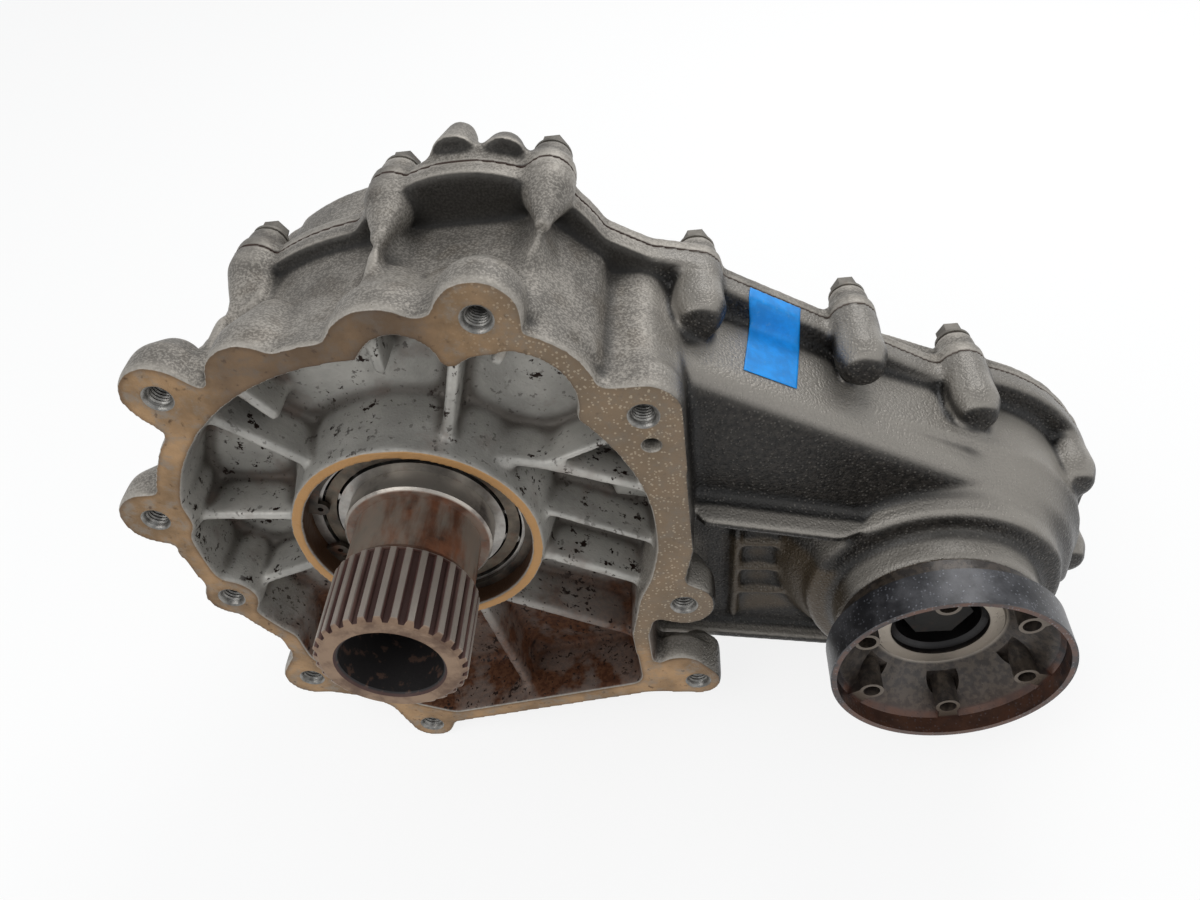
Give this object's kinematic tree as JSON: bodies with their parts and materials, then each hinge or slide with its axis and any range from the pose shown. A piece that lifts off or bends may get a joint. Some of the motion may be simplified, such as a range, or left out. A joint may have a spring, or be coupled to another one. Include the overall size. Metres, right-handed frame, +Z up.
{
  "type": "transfer case",
  "caption": "All-wheel-drive transfer case: cast two-piece housing with bell, splined hollow input, chain-driven offset front output flange and rear output flange.",
  "frame": {"origin": "the input shaft's axis in the plane of the machined bell face", "axes": "+Y rearwards along the shafts, +Z up, +X towards the front output"},
  "size_m": [0.4783, 0.2832, 0.3293],
  "materials": {
    "front_casting": "sand-cast, oily and oxidised",
    "rear_casting": "sand-cast, dusty",
    "spline_steel": "machined, surface rust",
    "flange_steel": "machined, oily",
    "shaft_steel": "turned",
    "bearing_steel": "ground",
    "cage_steel": "pressed, oily",
    "gear_steel": "case-hardened, oiled",
    "chain_steel": "blackened, oiled",
    "fastener_steel": "zinc plated, dull",
    "plug_steel": "dull",
    "seal_rubber": "satin",
    "breather_plastic": "moulded"
  },
  "bodies": {
    "case": {"front_housing": "front_casting", "rear_housing": "rear_casting", "housing_bolts": "fastener_steel", "locating_dowels": "fastener_steel", "fill_plug": "plug_steel", "drain_plug": "plug_steel", "breather": "breather_plastic", "drive_chain": "chain_steel", "input_bearing_outer_race": "bearing_steel", "input_bearing_rollers": "bearing_steel", "input_bearing_cage": "cage_steel", "front_output_bearing_outer_race": "bearing_steel", "front_output_bearing_rollers": "bearing_steel", "front_output_bearing_cage": "cage_steel", "output_tail_bearing_outer_race": "bearing_steel", "output_tail_bearing_rollers": "bearing_steel", "output_tail_bearing_cage": "cage_steel", "rear_bearing_outer_race": "bearing_steel", "rear_bearing_rollers": "bearing_steel", "rear_bearing_cage": "cage_steel", "input_snap_ring": "fastener_steel", "rear_snap_ring": "fastener_steel", "input_oil_seal": "seal_rubber", "front_output_seal": "seal_rubber", "rear_output_seal": "seal_rubber"},
    "front_drive": {"sun_gear": "gear_steel", "drive_sprocket": "gear_steel"},
    "front_output": {"front_output_shaft": "shaft_steel", "driven_sprocket": "gear_steel", "front_output_flange": "flange_steel", "front_output_nut": "fastener_steel", "front_output_bearing_inner_race": "bearing_steel", "output_tail_bearing_inner_race": "bearing_steel"},
    "input": {"input_shaft": "spline_steel", "input_bearing_inner_race": "bearing_steel", "planet_carrier": "gear_steel", "planet_pins": "gear_steel"},
    "rear_output": {"ring_gear": "gear_steel", "rear_output_shaft": "shaft_steel", "rear_output_flange": "flange_steel", "rear_output_nut": "fastener_steel", "rear_bearing_inner_race": "bearing_steel"},
    "planet_1": {"planet_gear_1": "gear_steel"},
    "planet_2": {"planet_gear_2": "gear_steel"},
    "planet_3": {"planet_gear_3": "gear_steel"}
  },
  "joints": [
    {"name": "front_drive_spin", "type": "hinge", "parent": "case", "child": "front_drive", "pos_m": [0, 0.071, 0], "axis": [0, 1, 0], "continuous": true},
    {"name": "front_output_spin", "type": "hinge", "parent": "case", "child": "front_output", "pos_m": [0.2468, 0.071, -0.0834], "axis": [0, 1, 0], "continuous": true},
    {"name": "differential_spin", "type": "hinge", "parent": "front_drive", "child": "input", "pos_m": [0, 0.02, 0], "axis": [0, 1, 0], "continuous": true},
    {"name": "rear_output_spin", "type": "hinge", "parent": "front_drive", "child": "rear_output", "pos_m": [0, 0.157, 0], "axis": [0, 1, 0], "continuous": true},
    {"name": "planet_1_spin", "type": "hinge", "parent": "input", "child": "planet_1", "pos_m": [0, 0.108, 0.04725], "axis": [0, 1, 0], "continuous": true},
    {"name": "planet_2_spin", "type": "hinge", "parent": "input", "child": "planet_2", "pos_m": [-0.04092, 0.108, -0.02363], "axis": [0, 1, 0], "continuous": true},
    {"name": "planet_3_spin", "type": "hinge", "parent": "input", "child": "planet_3", "pos_m": [0.04092, 0.108, -0.02363], "axis": [0, 1, 0], "continuous": true}
  ],
  "couplings": [
    {"joint": "front_output_spin", "follows": "front_drive_spin", "ratio": 1},
    {"joint": "rear_output_spin", "follows": "differential_spin", "ratio": 1.4},
    {"joint": "planet_1_spin", "follows": "differential_spin", "ratio": 1.3333},
    {"joint": "planet_2_spin", "follows": "differential_spin", "ratio": 1.3333},
    {"joint": "planet_3_spin", "follows": "differential_spin", "ratio": 1.3333}
  ]
}
